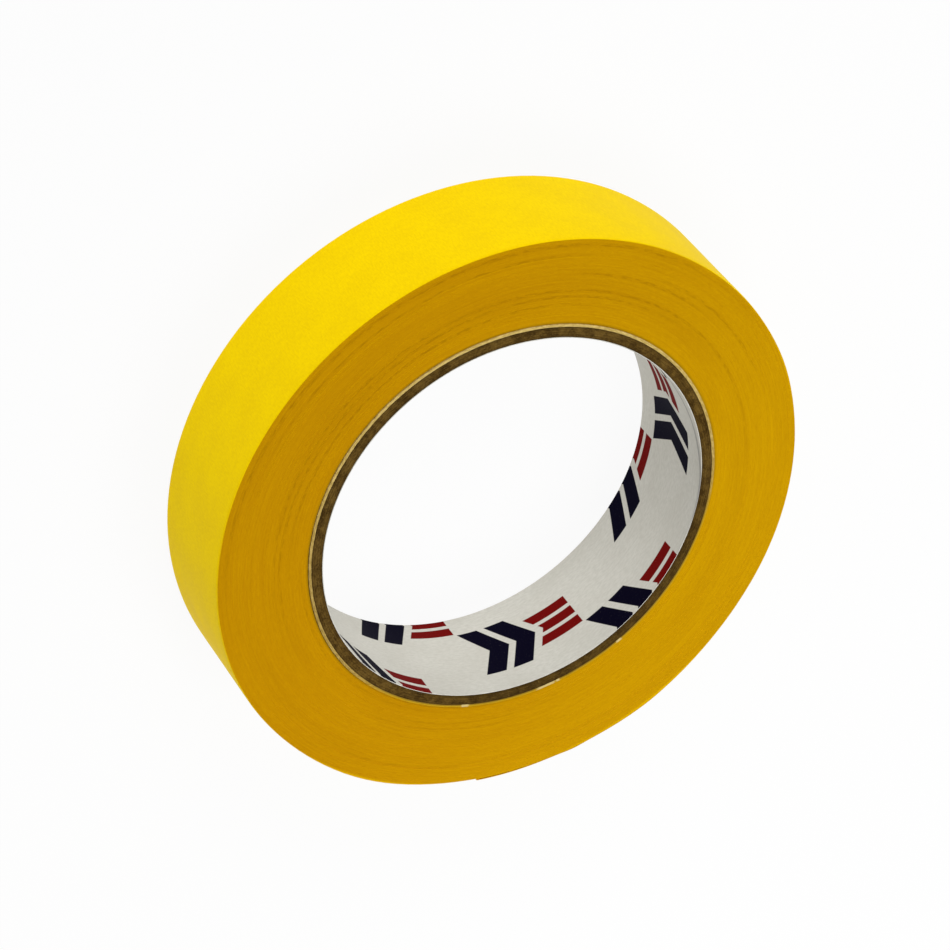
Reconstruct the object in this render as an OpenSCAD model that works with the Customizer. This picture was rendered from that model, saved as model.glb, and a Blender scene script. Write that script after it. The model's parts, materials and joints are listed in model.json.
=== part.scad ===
// Roll of masking tape on a spiral-wound paper core, lying flat.
// Millimetres. +Z is the roll's axis, and the origin is the centre of its underside.
// Angles run counter-clockwise from +X, seen from above.

/* [Roll] */
// Bore of the core, the standard 3 inch tape core
bore_d = 76.2; // [70:0.1:80]
// Outside diameter of the wound tape
roll_d = 116.5; // [105:0.5:150]
// Slit width of the tape and of its core
tape_w = 24; // [12:1:50]
// Thickness of the tape, paper and adhesive together
tape_t = 0.11; // [0.08:0.01:0.2]

/* [Core] */
// Thickness of the printed paper liner
liner_t = 0.15; // [0.1:0.01:0.3]
// Thickness of one chipboard ply
board_t = 0.51; // [0.4:0.01:0.6]
// Thickness of the cream outer ply
outer_ply_t = 0.54; // [0.3:0.01:0.8]
// Glue line between two plies
glue_t = 0.01; // [0.005:0.005:0.02]
// How far the core stands out of the upper side of the wound tape
core_shift = 0.2; // [0:0.05:1]

/* [Ply seams] */
// Gap between the two edges of a spiral-wound ply
seam_gap = 0.12; // [0.05:0.01:0.4]
// Lean of a seam from the roll's flat side
seam_lean = 18; // [14:1:40]
// Where the liner's seam crosses the middle of the core
liner_seam_at = 308; // [0:1:359]
// Step from one ply's seam to the next
seam_step = 110; // [20:1:170]

/* [Free end] */
// Where the cut tip of the tape lies
tip_at = 141; // [0:1:359]
// Where the tape leaves the roll
peel_at = 178; // [150:1:200]
// Radius that the loose strip relaxes to
relaxed_r = 60; // [59:0.5:80]
// Clearance that keeps the loose strip off the turn below
lift_gap = 0.03; // [0.02:0.01:0.1]
// Gap between two segments of the strip, at its bend lines
bend_gap = 0.05; // [0.02:0.01:0.1]

/* [Hidden] */

$fn = 96;
board_plies = 4;
outer_ply = board_plies + 1;
segments = 6;

liner_white = "#CBC8BE";
board_brown = "#57442A";
ply_cream = "#D9C68E";
side_amber = "#C39400";
tape_yellow = "#F7CF00";
strip_yellow = "#FBD60A";

roll_r = roll_d / 2;
liner_r = bore_d / 2;
board_r = liner_r + liner_t + glue_t;
board_pitch = board_t + glue_t;
outer_ply_r = board_r + board_plies * board_pitch;
core_r = outer_ply_r + outer_ply_t + glue_t;

// A turn is two half circles, and each has its centre this far to its own side of the axis.
spiral_shift = tape_t / 4;

// The strip's free length keeps its length when it relaxes to the larger radius.
peel_r = roll_r + spiral_shift * (1 + cos(peel_at - tip_at));
strip_angle = (peel_at - tip_at) * peel_r / relaxed_r;
segment_angle = strip_angle / segments;
half_gap_angle = bend_gap / 2 / relaxed_r * 180 / PI;

// Anything that only has to reach past the whole roll
reach = 2 * roll_r;

// A tube standing on z = 0
module tube(r_in, r_out, height) {
    difference() {
        cylinder(r = r_out, h = height);
        translate([0, 0, -1]) cylinder(r = r_in, h = height + 2);
    }
}

// The half space on the +Y side of the XZ plane, as tall as the tape is wide
module half_space() {
    translate([-reach, 0, 0]) cube([2 * reach, reach, tape_w]);
}

// A disc whose rim is one turn of a spiral: two arcs that meet smoothly opposite the tip
// and leave a step of one tape thickness at the tip
module spiral_disc(r) {
    rotate([0, 0, tip_at]) {
        intersection() {
            translate([spiral_shift, 0, 0]) cylinder(r = r + spiral_shift, h = tape_w);
            half_space();
        }
        intersection() {
            translate([-spiral_shift, 0, 0]) cylinder(r = r - spiral_shift, h = tape_w);
            mirror([0, 1, 0]) half_space();
        }
    }
}

// The sector from angle a to angle b, less than half a turn
module sector(a, b, height) {
    linear_extrude(height = height)
        polygon([[0, 0], reach * [cos(a), sin(a)], reach * [cos((a + b) / 2), sin((a + b) / 2)],
                 reach * [cos(b), sin(b)]]);
}

// One ply of the core, a strip wound once round with its edges butted on a leaning seam
module ply(r_in, thickness, seam_at) {
    translate([0, 0, core_shift]) difference() {
        tube(r_in, r_in + thickness, tape_w);
        rotate([0, 0, seam_at]) translate([reach / 2, 0, tape_w / 2]) rotate([-seam_lean, 0, 0])
            cube([reach, 2 * reach, seam_gap], center = true);
    }
}

module core_liner() {
    color(liner_white) ply(liner_r, liner_t, liner_seam_at);
}

module core_board_ply(number) {
    color(board_brown)
        ply(board_r + (number - 1) * board_pitch, board_t, liner_seam_at + number * seam_step);
}

module core_outer_ply() {
    color(ply_cream) ply(outer_ply_r, outer_ply_t, liner_seam_at + outer_ply * seam_step);
}

module wound_tape() {
    color(side_amber) difference() {
        spiral_disc(roll_r - tape_t);
        translate([0, 0, -1]) cylinder(r = core_r, h = tape_w + 2);
    }
}

module outer_turn() {
    color(tape_yellow) difference() {
        spiral_disc(roll_r);
        spiral_disc(roll_r - tape_t);
        translate([0, 0, -1]) sector(tip_at, peel_at, tape_w + 2);
    }
}

// A segment of the strip that lies relaxed on the roll, tangent to it at the peel line
module free_end(number) {
    from = peel_at - number * segment_angle;
    to = from + segment_angle;
    color(strip_yellow) rotate([0, 0, peel_at]) translate([peel_r + lift_gap - relaxed_r, 0, 0])
        rotate([0, 0, -peel_at]) intersection() {
            tube(relaxed_r - tape_t, relaxed_r, tape_w);
            sector(from + half_gap_angle, to - half_gap_angle, tape_w);
        }
}

core_liner();
core_board_ply(1);  // core_board_ply_1
core_board_ply(2);  // core_board_ply_2
core_board_ply(3);  // core_board_ply_3
core_board_ply(4);  // core_board_ply_4
core_outer_ply();
wound_tape();
outer_turn();
free_end(1);  // free_end_1
free_end(2);  // free_end_2
free_end(3);  // free_end_3
free_end(4);  // free_end_4
free_end(5);  // free_end_5
free_end(6);  // free_end_6
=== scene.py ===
"""The looks of a roll of masking tape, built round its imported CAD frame.

Metres, in the frame's own axes: +Z is the roll's axis and z = 0 is the table it lies on.
Angles run counter-clockwise from +X. The tape is one spiral strip, and a place along it is
counted in turns from the cut tip inwards.
"""
import json
import math

import bpy
import numpy as np
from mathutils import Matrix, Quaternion, Vector


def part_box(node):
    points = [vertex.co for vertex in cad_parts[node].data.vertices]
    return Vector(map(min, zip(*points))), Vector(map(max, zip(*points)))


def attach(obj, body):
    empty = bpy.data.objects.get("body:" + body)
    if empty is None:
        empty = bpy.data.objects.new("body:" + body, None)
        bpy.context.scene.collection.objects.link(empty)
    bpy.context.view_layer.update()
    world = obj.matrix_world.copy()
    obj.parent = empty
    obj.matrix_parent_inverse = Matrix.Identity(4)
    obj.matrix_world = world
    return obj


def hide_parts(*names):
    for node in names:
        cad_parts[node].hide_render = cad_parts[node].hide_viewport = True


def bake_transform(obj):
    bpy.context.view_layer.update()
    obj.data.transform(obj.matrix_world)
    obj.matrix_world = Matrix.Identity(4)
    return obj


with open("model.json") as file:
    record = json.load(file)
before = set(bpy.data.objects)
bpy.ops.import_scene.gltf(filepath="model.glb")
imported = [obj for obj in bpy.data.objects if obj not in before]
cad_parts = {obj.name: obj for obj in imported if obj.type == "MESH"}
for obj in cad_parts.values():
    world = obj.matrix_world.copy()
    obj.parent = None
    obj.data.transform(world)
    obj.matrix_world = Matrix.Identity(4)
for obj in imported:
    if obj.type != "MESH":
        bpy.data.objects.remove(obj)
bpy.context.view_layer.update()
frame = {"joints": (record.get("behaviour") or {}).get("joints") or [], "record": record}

# ---------------------------------------------------------------- sizes, all in metres

MM = 0.001
TAU = 2 * math.pi


def outer_radius(node):
    """The largest reach of a round CAD node from the roll's axis, along X or Y."""
    low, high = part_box(node)
    return max(-low.x, -low.y, high.x, high.y)


bore_mount = next(m for m in frame["record"]["mounts"] if m["name"] == "bore")
peel_joints = [j for j in frame["joints"] if j["name"].startswith("peel_")]
bends = [Vector(j["pos_m"][:2]) for j in peel_joints]

BORE_R = bore_mount["dims"]["r_mm"] * MM
CORE_LOW, CORE_TOP = (corner.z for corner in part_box("core_outer_ply"))
CORE_MID = (CORE_LOW + CORE_TOP) / 2
CORE_R = outer_radius("core_outer_ply")
BOARDS = [f"core_board_ply_{number}" for number in range(1, 5)]
TAPE_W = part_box("wound_tape")[1].z

# The CAD source has these too, and the frame doesn't carry them.
TAPE_T = 0.11 * MM
GLUE_T = 0.01 * MM
SEAM_GAP = 0.12 * MM
SEAM_LEAN = math.radians(18)
SEAM_STEP = math.radians(110)
LINER_SEAM_AT = math.radians(308)
TIP_AT = math.radians(141)
LOOSE_R = 60 * MM

PEEL_AT = math.atan2(bends[0].y, bends[0].x)
TIP_R = outer_radius("outer_turn") + TAPE_T / 4

# Places along the strip, in turns from its tip: where it leaves the roll, where the last turn
# dives under the tip, and where the strip starts on the core.
PEEL_TURN = (PEEL_AT - TIP_AT) / TAU
LAST_TURN = 1.0
CORE_TURN = (TIP_R - CORE_R) / TAPE_T - 1

# ---------------------------------------------------------------- how a real roll is uneven

# The tape is wound thicker on one side of the core: azimuth, and the most, in mm.
THICKER = (90, 0.28)
# Where a stretch of the roll stands proud of round: azimuth, height in mm, spread in degrees.
OUT_OF_ROUND = ((118, 0.36, 13), (161, 0.22, 2.5), (177, 0.50, 13), (257, 0.14, 8))
# The stretches fade inwards from the rim, over this depth.
BULGE_DEPTH = 2.5 * MM
# How far the strip wandered sideways as it was wound, from single turns to groups of turns:
# height in mm, spread in turns, and spread along a turn in steps, WANDER_STEPS to the turn.
WANDER = ((0.003, 0.0, 3.0), (0.006, 1.2, 2.5), (0.013, 3.5, 4.0), (0.012, 9.0, 6.0))
WANDER_STEPS = 30
# How far a turn's cut edge leans across its thickness, in the same three numbers.
CUT_LEAN = (0.004, 0.6, 2.0)
# How far the turns' upper edges lie below the nominal width, in mm: everywhere, next to the core,
# how much more there opposite the cleanest azimuth, and next to the rim. The depths, in mm, are
# how soon what is added at the core and at the rim fades.
SUNK = 0.03
CORE_SUNK, CORE_SCUFF, CORE_SUNK_DEPTH = 0.05, 0.10, 0.22
CLEANEST_AT = -5
RIM_SUNK, RIM_SUNK_DEPTH = 0.30, 0.13
# How far the turns' lower edges are off the table, in mm: plain, per mm of wander, and at most.
FOOT, FOOT_WANDER, FOOT_MOST = 0.05, 0.8, 0.2
# Rows of dark dashes on the slit edges: radius and half width in mm, azimuth, reach in degrees.
DASH_ROWS = ((56.8, 0.55, 350, 85), (54.7, 0.40, 350, 45), (54.5, 0.45, 124, 22),
             (52.3, 0.45, 277, 22), (50.9, 0.45, 298, 20), (47.6, 0.45, 330, 125),
             (46.4, 0.45, 0, 100), (45.9, 0.40, 128, 26), (44.8, 0.45, 0, 60),
             (44.6, 0.35, 140, 30), (42.2, 0.40, 92, 40))
# Where the cream ply was rubbed brown: azimuth, and the cosines from it that it fades in between.
PULLED_AT = 167
PULLED_FADE = (0.26, 0.60)
# The cream tufts left there, not rubbed brown: azimuth, height and half length in mm.
TUFTS = ((134, 0.06, 0.8), (158, 0.04, 1.8), (161.5, 0.07, 0.4), (181, 0.10, 0.6))

# ---------------------------------------------------------------- the strip's and plies' meshes

# Steps along a wound turn, along the last turn, and along the free end per segment.
TURN_STEPS = 150
LAST_TURN_STEPS = 520
LOOSE_STEPS = 26
# Rows across the outside of the strip: close together where its edges are rounded over.
EDGE_ROWS = np.array([0.0, 0.03, 0.08, 0.16, 0.28, 0.45, 0.7]) * MM
MIDDLE_ROWS = 15
# The strip's long edges: width and depth of the rounding, how far they stand back, and waviness.
EDGE_ROUND = 0.65 * MM
EDGE_DROP = 0.14 * MM
EDGE_INSET = 0.02 * MM
EDGE_WAVE = 0.014 * MM
# How deep the strip's outside undulates. It does so less towards both ends of the last turn, over
# this many turns, and towards the peel line, over this share of the free end's first segment.
WALL_WAVE = 0.05 * MM
WAVE_FADE = 0.02
LOOSE_WAVE_FADE = 0.6
# How soon the last turn leaves the peel line's own radius, in turns.
PEEL_FADE = 0.01
# Points across a ply's cut edge, the share of it that each worn corner takes, and how far in mm
# the corner is worn down, then the rows down its walls.
PLY_POINTS = 9
PLY_CORNER = 0.2
PLY_CORNER_DROP = 0.045
PLY_WALL_ROWS = 57
# The random seeds. Each board ply adds its number to the boards' seed.
TURNS_SEED, WALL_SEED, EDGE_SEED = 11, 5, 6
LINER_SEED, BOARD_SEED, CREAM_SEED = 21, 30, 40

# ---------------------------------------------------------------- the liner's print, in mm

# Along is round the bore, and across is down it. One arrow of the middle row is at PRINT_AT and
# PRINT_MIDDLE, its row goes on every PRINT_REPEAT, and each row up is a PRINT_STEP on. The map
# runs on from the liner's seam, so PRINT_AT has a whole turn in it.
PRINT_REPEAT = 58.6
PRINT_STEP = (22.4, 11.5)
PRINT_MIDDLE = 12.0
PRINT_AT = math.radians(360 + 160.2) * BORE_R / MM
INK_SOFT = 0.06
# An arrow is two bent bars with three stripes behind them for a tail.
ARROW_BACK = -7.2
ARROW_LEAN = 0.55
ARROW_HALF = 6.8
ARROW_WIDTH = 4.1
ARROW_STARTS = (0.0, 5.6)
TAIL_START = 11.4
TAIL_END = 11.0
TAIL_HALF = 4.7
TAIL_PITCH = 3.2
TAIL_LINE = 0.45
# The unprinted margin on each side of the seam.
PLAIN_MARGIN = 2.0

# ---------------------------------------------------------------- studio and camera

# The table lies just under the roll, so that their two faces don't fight.
TABLE_DROP = 0.02 * MM
TABLE_HALF = 4.0
TABLE_GLOW = 0.925
SKY = 0.465
# Lights come from an azimuth and an elevation in degrees, and their strengths are shares of what
# makes a white surface that faces the light look white.
KEY_FROM = (326, 25)
KEY_STRENGTH = 0.39
KEY_SPREAD = math.radians(30)
OVER_FROM = (175, 63)
OVER_DISTANCE = 0.56
OVER_STRENGTH = 0.63
OVER_SIZE = 0.35
# The camera: its lens in mm, its tilt from straight down and its roll in degrees, and how far it
# is from the point in the roll's upper face that it looks at.
LENS = 157.06
VIEW_TILT = 41.95
VIEW_ROLL = 140.57
VIEW_DISTANCE = 0.744
VIEW_AIM = (14.72 * MM, 0.43 * MM)

# ---------------------------------------------------------------- smooth random numbers


def blurred(values, width, axis):
    """values after a Gaussian blur of that standard deviation, in steps along one axis."""
    if width <= 0:
        return values
    reach = int(3 * width) + 1
    kernel = np.exp(-0.5 * (np.arange(-reach, reach + 1) / width) ** 2)
    kernel /= kernel.sum()

    def one_line(line):
        padded = np.pad(line, reach, mode="reflect" if len(line) > reach else "wrap")
        return np.convolve(padded, kernel, mode="valid")

    return np.apply_along_axis(one_line, axis, values)


def blurred_noise(rng, shape, widths):
    """Random numbers of that shape, blurred along each axis, with a spread of about 1."""
    values = rng.standard_normal(shape)
    for axis, width in enumerate(widths):
        values = blurred(values, width, axis)
    return values / max(values.std(), 1e-9)


def ripples(rng, count, longest, shortest):
    """A function of two lengths that gives a smooth, random, never repeating height of about 1."""
    size = longest * (shortest / longest) ** rng.random(count)
    turn = rng.random(count) * TAU
    phase = rng.random(count) * TAU
    strength = size / size.max()

    def height(a, b):
        along = np.multiply.outer(a, np.cos(turn)) + np.multiply.outer(b, np.sin(turn))
        waves = np.cos(along * TAU / size + phase) * strength
        return waves.sum(-1) / strength.sum() * math.sqrt(count)

    return height


# ---------------------------------------------------------------- mesh building


def piece_from(name, points, faces, materials, face_materials=None, uvs=None, sharp=35):
    """A mesh object. uvs is one pair per face corner, in millimetres, in a map called mm."""
    mesh = bpy.data.meshes.new(name)
    mesh.from_pydata(np.asarray(points).reshape(-1, 3).tolist(), [], faces)
    for material in materials:
        mesh.materials.append(material)
    if face_materials is not None:
        mesh.polygons.foreach_set("material_index", np.asarray(face_materials, np.int32))
    if uvs is not None:
        layer = mesh.uv_layers.new(name="mm")
        layer.data.foreach_set("uv", np.asarray(uvs, np.float32).ravel())
    mesh.shade_smooth()
    mesh.set_sharp_from_angle(angle=math.radians(sharp))
    mesh.validate()
    mesh.update()
    piece = bpy.data.objects.new(name, mesh)
    bpy.context.scene.collection.objects.link(piece)
    return piece


def loft(name, curves, uvs, materials, sides=None, close=(0.0, 0.0), sharp=35):
    """A closed solid through curves that run side by side, the last one beside the first.

    Seen along the curves they are listed anticlockwise. Two neighbours may be cut into
    different numbers of steps, one a multiple of the other. sides is the material of the band
    after each curve, and close is how far the map has moved once round the section.
    """
    starts = np.cumsum([0] + [len(curve) for curve in curves])
    faces, face_materials, corners = [], [], []
    for k in range(len(curves)):
        after = (k + 1) % len(curves)
        cells = min(len(curves[k]), len(curves[after])) - 1
        indices, places = [], []
        for curve, order, shift in ((k, 1, 0.0), (after, -1, np.multiply(close, after == 0))):
            step = (len(curves[curve]) - 1) // cells
            part = (np.arange(cells)[:, None] * step + np.arange(step + 1))[:, ::order]
            indices.append(part + starts[curve])
            places.append(np.asarray(uvs[curve])[part] + shift)
        faces += np.concatenate(indices, 1).tolist()
        corners.append(np.concatenate(places, 1).reshape(-1, 2))
        face_materials += [sides[k] if sides else 0] * cells
    faces += [starts[:-1].tolist(), (starts[1:] - 1)[::-1].tolist()]
    corners += [[uv[0] for uv in uvs], [uv[-1] for uv in uvs][::-1]]
    face_materials += [0, 0]
    return piece_from(name, np.concatenate(curves), faces, materials, face_materials,
                      np.concatenate(corners), sharp)


# ---------------------------------------------------------------- material building


class Shader:
    """One node material. Values may be numbers, colours or sockets of other nodes."""

    def __init__(self, name):
        self.material = bpy.data.materials.new(name)
        self.material.use_nodes = True
        self.tree = self.material.node_tree
        self.tree.nodes.clear()
        self.output = self.tree.nodes.new("ShaderNodeOutputMaterial")

    def node(self, kind, *values, out=0, **settings):
        """Adds a node, fills its inputs in order or by name, and returns one output socket."""
        node = self.tree.nodes.new("ShaderNode" + kind)
        inputs = {}
        for key, value in settings.items():
            if hasattr(node, key):
                setattr(node, key, value)
            else:
                inputs[key] = value
        for key, value in [*enumerate(values), *inputs.items()]:
            if value is None:
                continue
            socket = node.inputs[key if isinstance(key, int) else key.replace("_", " ")]
            if isinstance(value, bpy.types.NodeSocket):
                self.tree.links.new(value, socket)
            else:
                socket.default_value = value
        return node.outputs[out]

    def math(self, operation, *values):
        return self.node("Math", *values, operation=operation)

    def add(self, a, b):
        return self.math("ADD", a, b)

    def minus(self, a, b):
        return self.math("SUBTRACT", a, b)

    def times(self, a, b):
        return self.math("MULTIPLY", a, b)

    def times_add(self, a, b, c):
        return self.math("MULTIPLY_ADD", a, b, c)

    def largest(self, a, b):
        return self.math("MAXIMUM", a, b)

    def apart(self, a, b=0.0):
        """The distance between two values, or from 0 to one."""
        return self.math("ABSOLUTE", self.minus(a, b))

    def weighted(self, *parts):
        """The sum of values, each times its share, from pairs of the two."""
        total = 0.0
        for value, share in parts:
            total = self.times_add(value, share, total)
        return total

    def between(self, value, low, high):
        """0 up to low, 1 from high on, and a smooth ramp between. low may be above high."""
        return self.node("MapRange", value, low, high, 0.0, 1.0, interpolation_type="SMOOTHSTEP")

    def mix(self, share, a, b):
        return self.node("MixRGB", share, a, b)

    def tint(self, tone, mask, strength, colour):
        """The tone, mixed with another colour: at full strength where the mask is 1."""
        return self.mix(self.times(mask, strength), tone, colour)

    def noise(self, vector, scale, detail, roughness):
        return self.node("TexNoise", Vector=vector, Scale=scale, Detail=detail, Roughness=roughness)

    def strip_noise(self, along, across, detail, roughness):
        """Noise on the tape or the liner, from its own map: grains per mm, each way."""
        place = self.node("UVMap", uv_map="mm")
        place = self.node("VectorMath", place, (along, across, 1.0), operation="MULTIPLY")
        return self.noise(place, 1.0, detail, roughness)

    def solid_noise(self, per_metre, detail, roughness):
        """Noise through the whole piece: grains per metre."""
        return self.noise(self.node("TexCoord", out=3), per_metre, detail, roughness)

    def ring_noise(self, polar, per_mm, round_ring, detail, roughness, shift=0.0):
        """Noise drawn out along the rings: grains per mm of radius, and per radian round it."""
        radius, cosine, sine = polar
        place = self.vector(self.times_add(radius, per_mm, shift),
                            self.times(cosine, round_ring), self.times(sine, round_ring))
        return self.noise(place, 1.0, detail, roughness)

    def polar(self):
        """(radius in mm, cosine, sine) of a point of a piece that rides on the roll."""
        x, y, _ = self.split(self.node("TexCoord", out=3))
        radius = self.math("SQRT", self.add(self.times(x, x), self.times(y, y)))
        return (self.times(radius, 1 / MM), self.math("DIVIDE", x, radius),
                self.math("DIVIDE", y, radius))

    def towards(self, azimuth, x, y):
        """How far (x, y) lies towards an azimuth in degrees: its cosine, for a direction."""
        at = math.radians(azimuth)
        return self.add(self.times(x, math.cos(at)), self.times(y, math.sin(at)))

    def split(self, vector):
        node = self.tree.nodes.new("ShaderNodeSeparateXYZ")
        self.tree.links.new(vector, node.inputs[0])
        return tuple(node.outputs)

    def vector(self, x, y, z=0.0):
        return self.node("CombineXYZ", x, y, z)

    def bump(self, height, distance, strength):
        return self.node("Bump", Height=height, Distance=distance, Strength=strength)

    def surface(self, colour, roughness, specular, normal=None, **extra):
        """Ends the material with a Principled surface and returns the material."""
        node = self.tree.nodes.new("ShaderNodeBsdfPrincipled")
        values = {"Base Color": colour, "Roughness": roughness, "Normal": normal, **extra}
        for key, value in values.items():
            if isinstance(value, bpy.types.NodeSocket):
                self.tree.links.new(value, node.inputs[key])
            elif value is not None:
                node.inputs[key].default_value = value
        node.inputs["Specular IOR Level"].default_value = specular
        self.tree.links.new(node.outputs[0], self.output.inputs["Surface"])
        return self.material


def rgb(red, green, blue):
    """A screen colour, 0 to 255 a channel, as the linear colour that a node takes."""
    values = [c / 255 for c in (red, green, blue)]
    linear = [c / 12.92 if c <= 0.04045 else ((c + 0.055) / 1.055) ** 2.4 for c in values]
    return (*linear, 1.0)


# ---------------------------------------------------------------- colours

FACE_YELLOW, FACE_DEEP = rgb(252, 217, 0), rgb(240, 202, 0)
ADHESIVE_DEEP, ADHESIVE_PALE = rgb(226, 176, 10), rgb(244, 200, 36)
# A pair here is for the side of the face in painted shade and the side painted lighter and
# yellower, as if lit.
SLIT_DEEP = (rgb(174, 122, 0), rgb(178, 130, 0))
SLIT_PALE = (rgb(190, 139, 0), rgb(196, 149, 0))
SLIT_DASH, SLIT_RIM_HIGHLIGHT, SLIT_CORE_SHADE = rgb(146, 100, 0), rgb(226, 184, 0), rgb(134, 106, 8)
BOARD_DEEP, BOARD_PALE = rgb(60, 42, 12), rgb(104, 80, 34)
BOARD_SPECK, BOARD_PAINTED_SHADE, BOARD_EDGE = rgb(146, 120, 66), rgb(44, 30, 8), rgb(42, 28, 8)
# A pair here is for the side of the core in painted shade and the side painted lighter, towards the
# key light.
CREAM_DEEP = (rgb(140, 113, 52), rgb(172, 146, 76))
CREAM_PALE = (rgb(184, 157, 88), rgb(216, 190, 118))
PULLED_INNER, PULLED_OUTER, TUFT_CREAM = rgb(134, 106, 30), rgb(186, 146, 14), rgb(218, 198, 136)
LINER_DEEP, LINER_WHITE, LINER_CLOUD = rgb(204, 202, 192), rgb(216, 214, 205), rgb(196, 193, 182)
SEAM_GREY, INK_RED, INK_NAVY = rgb(138, 136, 134), rgb(112, 8, 6), rgb(4, 2, 24)
TABLE_DEEP, TABLE_PALE = (0.05, 0.05, 0.05, 1.0), (0.06, 0.06, 0.06, 1.0)
LAMP_WHITE = (1.0, 1.0, 1.0, 1.0)

# ---------------------------------------------------------------- materials


def tape_paper(name):
    """Smooth saturated paper: long fine fibres, faint clouding, and a low uneven surface."""
    s = Shader(name)
    fibres = s.strip_noise(1.1, 3.2, 4.0, 0.6)
    cross = s.strip_noise(3.2, 0.9, 3.0, 0.65)
    clouds = s.strip_noise(0.11, 0.16, 3.0, 0.55)
    shade = s.weighted((fibres, 0.25), (cross, 0.5), (clouds, 0.25))
    tone = s.mix(s.between(shade, 0.34, 0.66), FACE_DEEP, FACE_YELLOW)
    gloss = s.node("MapRange", clouds, 0.3, 0.7, 0.46, 0.55)
    return s.surface(tone, gloss, 0.012, s.bump(s.add(fibres, cross), 0.02 * MM, 0.5))


def adhesive_side(name):
    """The sticky side of the strip: the paper's yellow under a thin, wet-looking coat."""
    s = Shader(name)
    specks = s.strip_noise(1.6, 2.0, 4.0, 0.65)
    pools = s.strip_noise(0.25, 0.4, 2.0, 0.5)
    tone = s.mix(s.between(specks, 0.35, 0.7), ADHESIVE_DEEP, ADHESIVE_PALE)
    return s.surface(tone, 0.32, 0.45, s.bump(s.add(specks, pools), 0.03 * MM, 0.5))


def dash_rows(s, polar, dashes):
    """1 in the dark dashes, which lie in rows along some of the turns, and 0 elsewhere."""
    radius, *direction = polar
    streaks = 0.0
    for middle, half, azimuth, reach in DASH_ROWS:
        span = s.between(s.towards(azimuth, *direction), math.cos(math.radians(reach)),
                         math.cos(math.radians(reach / 2)))
        row = s.times(s.between(s.apart(radius, middle), half, half / 4), span)
        streaks = s.largest(row, streaks)
    return s.times(streaks, s.between(dashes, 0.42, 0.62))


def tape_side(name):
    """The slit edges of the turns: amber with rows of dark dashes, painted lighter and yellower on
    one side, with a painted highlight at the rim and painted shade next to the core.
    """
    s = Shader(name)
    polar = s.polar()
    radius, *direction = polar
    lines = s.ring_noise(polar, 5.0, 3.0, 2.0, 0.6, shift=3.0)
    dashes = s.ring_noise(polar, 3.4, 30.0, 2.0, 0.6, shift=11.0)
    broad = s.ring_noise(polar, 0.12, 1.0, 2.0, 0.6, shift=29.0)
    grain = s.solid_noise(2600.0, 3.0, 0.6)
    shade = s.weighted((lines, 0.3), (dashes, 0.2), (broad, 0.25), (grain, 0.25))
    # Painted light: the slit edges are lighter and yellower towards azimuth 225, as if lit from
    # that side
    painted_lit_side = s.between(s.towards(225, *direction), -0.6, 0.95)
    tone = s.mix(s.between(shade, 0.32, 0.68), s.mix(painted_lit_side, *SLIT_DEEP), s.mix(painted_lit_side, *SLIT_PALE))
    strength = s.node("MapRange", s.towards(345, *direction), -1.0, 1.0, 0.3, 0.6)
    tone = s.tint(tone, dash_rows(s, polar, dashes), strength, SLIT_DASH)
    azimuth, most = THICKER
    even = s.minus(radius, s.times(s.towards(azimuth, *direction), most))
    # Painted highlight: the outermost turns' edges tinted yellower along the rim
    rim = s.between(even, (TIP_R - 4 * TAPE_T) / MM, (TIP_R - TAPE_T) / MM)
    tone = s.tint(tone, rim, 0.5, SLIT_RIM_HIGHLIGHT)
    pulled = s.between(s.towards(PULLED_AT, *direction), *PULLED_FADE)
    # Painted shade: the slit edges darkened next to the core, where the first turns sink, except
    # where the cream ply is pulled
    core = s.between(radius, (CORE_R + 6 * TAPE_T) / MM, (CORE_R + TAPE_T) / MM)
    tone = s.tint(tone, s.times(core, s.minus(1.0, pulled)), 0.5, SLIT_CORE_SHADE)
    return s.surface(tone, 0.65, 0.01, s.bump(s.add(lines, grain), 0.012 * MM, 0.4))


def chipboard(name):
    """Cut edge of grey-brown board: fibres along the ply, specks, painted shade on the side round
    azimuth 180, darker at both of its faces.
    """
    s = Shader(name)
    polar = s.polar()
    radius, cosine, _ = polar
    fibres = s.ring_noise(polar, 5.0, 75.0, 4.0, 0.65)
    blotches = s.solid_noise(520.0, 4.0, 0.6)
    specks = s.solid_noise(4200.0, 2.0, 0.6)
    shade = s.weighted((fibres, 0.45), (blotches, 0.55))
    tone = s.mix(s.between(shade, 0.36, 0.64), BOARD_DEEP, BOARD_PALE)
    tone = s.tint(tone, s.between(specks, 0.60, 0.76), 0.55, BOARD_SPECK)
    # Painted shade: the board's edge darker on the side round azimuth 180
    tone = s.tint(tone, s.between(cosine, -0.3, -0.9), 0.3, BOARD_PAINTED_SHADE)
    inner = s.between(radius, BORE_R / MM + 0.9, BORE_R / MM + 0.1)
    outer = s.between(radius, CORE_R / MM - 1.0, CORE_R / MM - 0.55)
    tone = s.tint(tone, s.largest(inner, outer), 0.5, BOARD_EDGE)
    return s.surface(tone, 0.9, 0.04, s.bump(s.add(fibres, specks), 0.06 * MM, 0.8))


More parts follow.
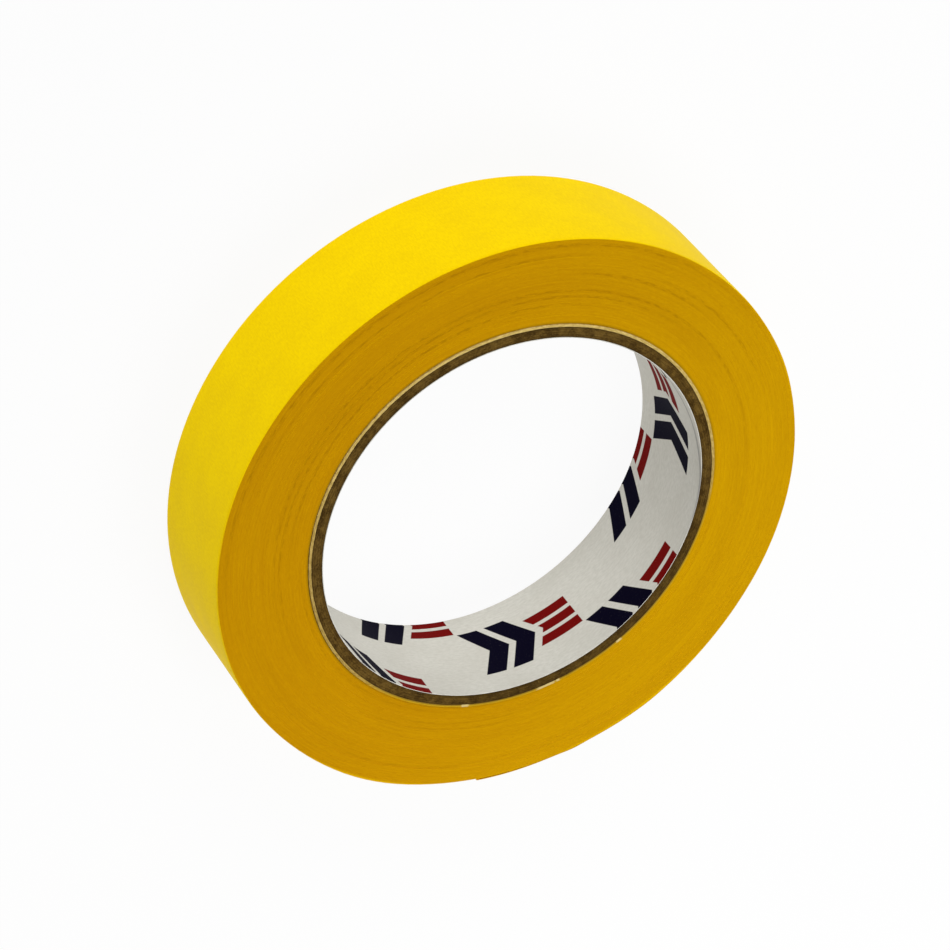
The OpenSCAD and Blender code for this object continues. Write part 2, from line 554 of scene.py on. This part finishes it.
def cream_paper(name):
    """The pale outer ply: painted lighter towards the key light and in painted shade on the other
    side, rubbed brown with tufts there.
    """
    s = Shader(name)
    polar = s.polar()
    radius, *direction = polar
    fibres = s.ring_noise(polar, 4.0, 42.0, 4.0, 0.65)
    # Painted light: the ply's edge lighter towards azimuth 325, where the key light comes from
    painted_key_light = s.between(s.towards(325, *direction), -0.3, 0.9)
    tone = s.mix(s.between(fibres, 0.3, 0.7), s.mix(painted_key_light, *CREAM_DEEP), s.mix(painted_key_light, *CREAM_PALE))
    tuft = 0.0
    for azimuth, _, half in TUFTS:
        off = s.times(s.apart(s.towards(azimuth + 90, *direction)), radius)
        near = s.between(s.times_add(fibres, 2 * half, off), 2.2 * half, 1.6 * half)
        ahead = s.between(s.towards(azimuth, *direction), 0.0, 0.1)
        tuft = s.largest(s.times(near, ahead), tuft)
    pulled = s.between(s.towards(PULLED_AT, *direction), *PULLED_FADE)
    pulled = s.times(pulled, s.minus(1.0, tuft))
    stain = s.between(radius, CORE_R / MM - 0.5, CORE_R / MM - 0.12)
    tone = s.tint(tone, pulled, 0.95, s.mix(stain, PULLED_INNER, PULLED_OUTER))
    tone = s.tint(tone, tuft, 0.65, TUFT_CREAM)
    return s.surface(tone, 0.85, 0.03, s.bump(fibres, 0.05 * MM, 0.7))


def arrow_print(s):
    """(navy, red): 1 where the liner's arrows and their striped tails are inked."""
    along, across, _ = s.split(s.node("UVMap", uv_map="mm"))

    def under(value, limit):
        return s.between(value, limit + INK_SOFT, limit - INK_SOFT)

    def over(value, limit):
        return s.between(value, limit - INK_SOFT, limit + INK_SOFT)

    navy, red = 0.0, 0.0
    for row in (-1, 0, 1):
        x = s.minus(along, PRINT_AT + PRINT_STEP[0] * row - PRINT_REPEAT / 2)
        x = s.minus(s.math("FLOORED_MODULO", x, PRINT_REPEAT), PRINT_REPEAT / 2)
        y = s.minus(across, PRINT_MIDDLE - PRINT_STEP[1] * row)
        rise = s.apart(y)
        # Distance ahead of the arrow's back edge, which leans forward to the middle
        ahead = s.minus(s.times_add(rise, ARROW_LEAN, x), ARROW_BACK)
        tall = under(rise, ARROW_HALF)
        for start in ARROW_STARTS:
            bar = under(s.apart(ahead, start + ARROW_WIDTH / 2), ARROW_WIDTH / 2)
            navy = s.largest(s.times(bar, tall), navy)
        wave = s.math("PINGPONG", s.add(y, TAIL_PITCH / 2), TAIL_PITCH / 2)
        stripes = s.times(under(rise, TAIL_HALF), over(wave, TAIL_LINE))
        tail = s.times(s.times(over(ahead, TAIL_START), under(x, TAIL_END)), stripes)
        red = s.largest(tail, red)
    return navy, red


def liner_seam(s, clouds):
    """(grey, plain): 1 on the seam's line of glue and shadow, and 1 on its unprinted margins."""
    # The two ends meet in one plane, which leans from the roll's flat side
    x, y, z = s.split(s.node("TexCoord", out=3))
    seam_at = math.degrees(LINER_SEAM_AT)
    height = s.times_add(s.towards(seam_at - 90, x, y), math.tan(SEAM_LEAN), CORE_MID)
    off = s.times(s.apart(height, z), 1 / MM)
    ahead = s.math("GREATER_THAN", s.towards(seam_at, x, y), 0.0)
    grey = s.between(s.times_add(clouds, 1.2, off), 1.3, 0.5)
    plain = s.between(off, PLAIN_MARGIN + INK_SOFT, PLAIN_MARGIN - INK_SOFT)
    return s.times(grey, ahead), s.times(plain, ahead)


def printed_liner(name):
    """White paper with a generic arrow pattern printed on it, in navy and dark red."""
    s = Shader(name)
    navy, red = arrow_print(s)
    paper = s.strip_noise(0.9, 2.4, 5.0, 0.6)
    clouds = s.strip_noise(0.07, 0.12, 3.0, 0.5)
    thin = s.strip_noise(3.0, 3.0, 4.0, 0.7)
    grey, plain = liner_seam(s, clouds)
    cut = s.math("GREATER_THAN", s.polar()[0], BORE_R / MM + 0.02)
    # The share of ink that is there: less where it is thin, none on the margins and the cut edge
    inked = s.minus(1.0, s.times(s.between(thin, 0.60, 0.84), 0.2))
    inked = s.times(inked, s.minus(1.0, s.largest(plain, cut)))
    tone = s.mix(s.between(paper, 0.3, 0.7), LINER_DEEP, LINER_WHITE)
    tone = s.tint(tone, s.between(clouds, 0.4, 0.65), 0.3, LINER_CLOUD)
    tone = s.tint(tone, grey, 0.85, SEAM_GREY)
    tone = s.tint(tone, red, inked, INK_RED)
    tone = s.tint(tone, navy, inked, INK_NAVY)
    gloss = s.node("MapRange", s.largest(navy, red), 0.0, 1.0, 0.7, 0.6)
    return s.surface(tone, gloss, 0.02, s.bump(paper, 0.02 * MM, 0.5))


def pale_table(name):
    """White table that shows hardly any shadow, as in a bright studio."""
    s = Shader(name)
    tone = s.mix(s.solid_noise(3.0, 1.0, 0.5), TABLE_DEEP, TABLE_PALE)
    glow = {"Emission Color": LAMP_WHITE, "Emission Strength": TABLE_GLOW}
    return s.surface(tone, 0.9, 0.0, **glow)


face_paper = tape_paper("tape_face_paper")
sticky = adhesive_side("tape_adhesive_side")
side_edges = tape_side("tape_slit_edges")
board = chipboard("core_chipboard_edge")
cream = cream_paper("core_cream_paper")
liner_print = printed_liner("core_liner_print")
table = pale_table("table_white")

# ---------------------------------------------------------------- the wound tape


def thicker(angle):
    """How much thicker than even the winding is at an angle, negative on the far side."""
    return THICKER[1] * MM * np.cos(angle - math.radians(THICKER[0]))


def stand_out(angle):
    """How far the rim stands out of round at an angle."""
    total = thicker(angle)
    for azimuth, height, spread in OUT_OF_ROUND:
        off = (np.degrees(angle) - azimuth + 180) % 360 - 180
        total = total + height * MM * np.exp(-(off / spread) ** 2)
    return total


def strip_radius(turn):
    """Outer radius of the strip, that many turns in from its tip."""
    return TIP_R - TAPE_T * turn


def wound_radius(even, angle):
    """Radius in the real winding of what would be at radius even in a round one."""
    below_rim = TIP_R - TAPE_T - even
    share = 1 - below_rim / (TIP_R - TAPE_T - CORE_R)
    bulge = stand_out(angle) - thicker(angle)
    return even + thicker(angle) * share + bulge * np.exp(-below_rim / BULGE_DEPTH)


def wound_turns():
    """Every turn but the last, as the one strip that it is, with its edges not quite level."""
    rng = np.random.default_rng(TURNS_SEED)
    turns = np.arange(LAST_TURN * TURN_STEPS, CORE_TURN * TURN_STEPS + 1) / TURN_STEPS
    rows = int(CORE_TURN) + 2

    def along_strip(height, *spreads):
        """Random heights, smooth along each turn and from turn to turn."""
        values = blurred_noise(rng, (rows, WANDER_STEPS), spreads).ravel()
        return height * np.interp(turns * WANDER_STEPS, np.arange(values.size), values)

    wander = sum(along_strip(*part) for part in WANDER)
    lean = along_strip(*CUT_LEAN) * MM
    even = strip_radius(turns)
    angle = TIP_AT + TAU * turns
    from_core = (even - CORE_R) / MM
    from_rim = (TIP_R - even) / MM
    scuffed = 0.5 - 0.5 * np.cos(angle - math.radians(CLEANEST_AT))
    sunk = (CORE_SUNK + CORE_SCUFF * scuffed) * np.exp(-from_core / CORE_SUNK_DEPTH)
    sunk += RIM_SUNK * np.exp(-from_rim / RIM_SUNK_DEPTH)
    top = TAPE_W + (wander - SUNK - sunk) * MM
    foot = np.clip(FOOT + FOOT_WANDER * wander, 0.0, FOOT_MOST) * MM
    radius = wound_radius(even, angle)
    # The strip fills all the room down to the turn below, so no gap shows between two turns
    below = wound_radius(even - TAPE_T, angle)
    outward = np.stack([np.cos(angle), np.sin(angle)], -1)
    length = np.concatenate([[0.0], np.cumsum(TAU / TURN_STEPS * radius[1:])]) / MM
    curves, uvs = [], []
    for reach, z, around in ((radius, foot, 0.0), (radius, top + lean, TAPE_W),
                             (below, top - lean, TAPE_W + TAPE_T), (below, foot, 2 * TAPE_W)):
        curves.append(np.column_stack([outward * reach[:, None], z]))
        uvs.append(np.column_stack([length, np.full(len(turns), around / MM)]))
    turns_piece = loft("tape_wound_turns", curves, uvs, [side_edges, face_paper, sticky],
                       [1, 0, 2, 0], (0.0, 2 * (TAPE_W + TAPE_T) / MM), sharp=3)
    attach(turns_piece, "roll")
    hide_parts("wound_tape")


# ---------------------------------------------------------------- the last turn and the free end

wall_waves = ripples(np.random.default_rng(WALL_SEED), 26, 40 * MM, 5 * MM)
edge_waves = ripples(np.random.default_rng(EDGE_SEED), 14, 30 * MM, 4 * MM)


def strip_rows():
    """Distances across the strip, from its lower edge to its upper edge."""
    middle = np.linspace(EDGE_ROWS[-1], TAPE_W - EDGE_ROWS[-1], MIDDLE_ROWS + 2)[1:-1]
    return np.concatenate([EDGE_ROWS, middle, (TAPE_W - EDGE_ROWS)[::-1]])


def strip_length(name, outside, outward, along, waves):
    """A length of tape with real thickness.

    outside and outward are the strip's outer surface and its normal at each station, along is
    the distance from the tip there, and waves is how deep the outside undulates.
    """
    rows = strip_rows()
    inner_rows = rows[::-1][::2]
    outer = slice(len(rows))
    inner = slice(len(rows), None)
    near_edge = np.minimum(rows, TAPE_W - rows)
    rounded = EDGE_DROP * np.clip(1 - near_edge / EDGE_ROUND, 0, 1) ** 2
    dip = waves * (1 + 0.5 * wall_waves(along[:, None], rows[None, :])) * 0.5
    depth = rounded[None, :] + np.clip(dip, 0, None)
    within = (TAPE_T + rounded[::-1][::2])[None, :]
    squeeze = (TAPE_W - 2 * EDGE_INSET) / TAPE_W
    rings = np.empty((len(along), len(rows) + len(inner_rows), 3))
    for part, sunk, heights in ((outer, depth, rows), (inner, within, inner_rows)):
        rings[:, part, :2] = outside[:, None, :] - outward[:, None, :] * sunk[..., None]
        rings[:, part, 2] = EDGE_INSET + heights * squeeze
    upper = rings[..., 2] > TAPE_W / 2
    edge = EDGE_WAVE * edge_waves(along, np.zeros(len(along)))
    rings[..., 2] += upper * (edge - EDGE_INSET)[:, None]
    around = np.concatenate([rows, 2 * TAPE_W - inner_rows]) / MM
    uvs = [np.column_stack([along / MM, np.full(len(along), v)]) for v in around]
    sides = [0] * (len(rows) - 1) + [2] + [1] * (len(inner_rows) - 1) + [2]
    piece = loft(name, list(rings.transpose(1, 0, 2)), uvs, [face_paper, sticky, side_edges],
                 sides, (0.0, 2 * TAPE_W / MM), sharp=50)
    return piece


def last_turn():
    """The outermost turn, from the peel line round to where it dives under the tip."""
    turns = np.linspace(PEEL_TURN, LAST_TURN, LAST_TURN_STEPS)
    angle = TIP_AT + TAU * turns
    outward = np.stack([np.cos(angle), np.sin(angle)], -1)
    meeting = bends[0].length - strip_radius(PEEL_TURN)
    radius = strip_radius(turns) + stand_out(angle)
    radius += meeting * np.exp(-(turns - PEEL_TURN) / PEEL_FADE)
    along = turns * TAU * TIP_R
    # No undulation at either end, so that it meets the free end and the turn below
    fade = np.clip(np.minimum(turns - PEEL_TURN, LAST_TURN - turns) / WAVE_FADE, 0, 1)
    piece = strip_length("tape_last_turn", outward * radius[:, None], outward, along,
                         (WALL_WAVE * fade)[:, None])
    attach(piece, "roll")
    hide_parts("outer_turn")


def loose_strip():
    """The free end: one piece over each bend line, meeting in the middle of the segments."""
    peel_normal = Vector((math.cos(PEEL_AT), math.sin(PEEL_AT)))
    centre = bends[0] - peel_normal * LOOSE_R
    step = (bends[0] - centre).angle(bends[1] - centre)
    segments = len(bends)

    def place(segment):
        """Outside point of the strip, that many segments from the peel line."""
        at = PEEL_AT - segment * step
        return Vector((math.cos(at), math.sin(at))) * LOOSE_R + centre

    def length(name, start, end):
        part = np.linspace(start, end, int((end - start) * LOOSE_STEPS))
        at = PEEL_AT - part * step
        outward = np.stack([np.cos(at), np.sin(at)], -1)
        outside = outward * LOOSE_R + np.array(centre)
        outside += outward * stand_out(np.arctan2(outside[:, 1], outside[:, 0]))[:, None]
        along = (segments - part) * step * LOOSE_R
        waves = WALL_WAVE * np.clip(part / LOOSE_WAVE_FADE, 0, 1)[:, None]
        # Turned round, so that the stations run from the tip inwards
        return strip_length(name, outside[::-1], outward[::-1], along[::-1], waves[::-1])

    for number in range(1, segments + 1):
        start = max(0.0, number - 1.5)
        end = number - 0.5
        piece = length(f"tape_free_end_{number}", start, end)
        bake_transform(piece)
        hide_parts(f"free_end_{number}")
    tip = length("tape_free_end_tip", segments - 0.5, float(segments))
    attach(tip, f"free_end_{segments}")


# ---------------------------------------------------------------- the core


def ply_piece(name, node, inner, outer, seam_at, seed, material, rough, steps=1440,
              wall_step=8, opening=SEAM_GAP, tufts=()):
    """One ply: a strip wound once round, its ends butted on a leaning seam.

    steps is how many steps its cut edges have round them, and its plain walls have wall_step
    times fewer. rough is the depth in mm of the fibrous relief on the cut edges, opening is the
    gap between the two ends, and tufts stand up from the upper edge.
    """
    rng = np.random.default_rng(seed)
    lean = math.tan(SEAM_LEAN)
    across = np.linspace(0, 1, PLY_POINTS)
    worn = np.clip(1 - np.minimum(across, 1 - across) / PLY_CORNER, 0, 1) ** 2 * PLY_CORNER_DROP
    curves, uvs = [], []

    def curve(r, z, count, sink=0.0):
        """Adds a curve round the ply at radius r and height z, sunk in mm towards its middle."""
        shift = math.asin((z - CORE_MID) / (r * lean))
        gap = opening / 2 / math.sin(SEAM_LEAN) / r
        angle = seam_at - shift + np.linspace(gap, TAU - gap, count + 1)
        height = np.full(count + 1, z) - math.copysign(MM, z - CORE_MID) * sink
        curves.append(np.stack([np.cos(angle) * r, np.sin(angle) * r, height], -1))
        uvs.append(np.stack([angle * BORE_R / MM, (CORE_TOP - height) / MM], -1))

    def cut_edge(z, order):
        relief = np.abs(blurred_noise(rng, (steps + 1, PLY_POINTS), (4.0, 0.5)))
        relief += 0.7 * np.abs(blurred_noise(rng, (steps + 1, 1), (14.0, 0.0)))
        sink = relief * rough + worn
        if z == CORE_TOP:
            at = seam_at + np.linspace(0, TAU, steps + 1)
            for azimuth, height, half in tufts:
                off = (at - math.radians(azimuth) + math.pi) % TAU - math.pi
                sink -= height * np.exp(-(off * outer / (half * MM)) ** 2)[:, None]
        for k in range(PLY_POINTS)[::order]:
            curve(inner + (outer - inner) * across[k], z, steps, sink[:, k])

    def wall(r, order):
        reach = math.asin((CORE_TOP - CORE_MID) / (r * lean))
        for row in np.linspace(-1, 1, PLY_WALL_ROWS + 2)[1:-1][::order]:
            curve(r, CORE_MID + r * lean * math.sin(row * reach), steps // wall_step)

    cut_edge(CORE_TOP, -1)
    wall(inner, -1)
    cut_edge(CORE_LOW, 1)
    wall(outer, 1)
    piece = loft(name, curves, uvs, [material], sharp=60)
    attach(piece, "roll")
    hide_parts(node)


def core_plies():
    """The whole core, from the printed liner outwards."""
    outer = outer_radius("core_liner")
    ply_piece("core_liner_paper", "core_liner", BORE_R, outer, LINER_SEAM_AT, LINER_SEED,
              liner_print, rough=0.008, steps=720, wall_step=2, opening=GLUE_T)
    for number, node in enumerate(BOARDS, start=1):
        inner, outer = outer + GLUE_T, outer_radius(node)
        ply_piece(f"core_board_{number}", node, inner, outer, LINER_SEAM_AT + number * SEAM_STEP,
                  BOARD_SEED + number, board, rough=0.03)
    ply_piece("core_cream_ply", "core_outer_ply", outer + GLUE_T, CORE_R,
              LINER_SEAM_AT + (len(BOARDS) + 1) * SEAM_STEP, CREAM_SEED, cream,
              rough=0.025, tufts=TUFTS)


# ---------------------------------------------------------------- table, lights and camera


def studio():
    """A pale table, a soft sky, a broad light overhead and a key light from one side."""
    corners = [(x * TABLE_HALF, y * TABLE_HALF, 0) for x, y in ((-1, -1), (1, -1), (1, 1), (-1, 1))]
    floor = piece_from("table_top", corners, [(0, 1, 2, 3)], [table])
    floor.location.z = -TABLE_DROP
    world = bpy.data.worlds.new("studio_white")
    world.use_nodes = True
    background = world.node_tree.nodes["Background"]
    background.inputs["Color"].default_value = LAMP_WHITE
    background.inputs["Strength"].default_value = SKY
    bpy.context.scene.world = world
    lamp("key_light", "SUN", KEY_FROM, KEY_STRENGTH * math.pi).angle = KEY_SPREAD
    over = lamp("overhead_light", "AREA", OVER_FROM,
                OVER_STRENGTH * (math.pi * OVER_DISTANCE) ** 2, OVER_DISTANCE)
    over.size = OVER_SIZE


def lamp(name, kind, comes_from, energy, distance=1.0):
    """A light that shines on the roll from an azimuth and an elevation, in degrees."""
    data = bpy.data.lights.new(name, kind)
    data.energy = energy
    light = bpy.data.objects.new(name, data)
    azimuth, elevation = (math.radians(angle) for angle in comes_from)
    towards = Vector((math.cos(azimuth) * math.cos(elevation),
                      math.sin(azimuth) * math.cos(elevation), math.sin(elevation)))
    light.rotation_mode = "QUATERNION"
    light.rotation_quaternion = towards.to_track_quat("Z", "Y")
    light.location = towards * distance
    bpy.context.scene.collection.objects.link(light)
    return data


def camera():
    """Looks down on the roll from the +X side, rolled about its own line of sight."""
    data = bpy.data.cameras.new("camera")
    data.lens = LENS
    data.sensor_width = 36.0
    data.clip_start, data.clip_end = 0.01, 50.0
    eye = bpy.data.objects.new("camera", data)
    tilt = math.radians(VIEW_TILT)
    back = Vector((math.sin(tilt), 0.0, math.cos(tilt)))
    eye.location = Vector((*VIEW_AIM, TAPE_W)) + back * VIEW_DISTANCE
    eye.rotation_mode = "QUATERNION"
    level = (-back).to_track_quat("-Z", "Y")
    eye.rotation_quaternion = level @ Quaternion((0, 0, 1), math.radians(VIEW_ROLL))
    bpy.context.scene.collection.objects.link(eye)
    bpy.context.scene.camera = eye


wound_turns()
last_turn()
loose_strip()
core_plies()
studio()
camera()
bpy.context.scene.view_settings.view_transform = "Standard"
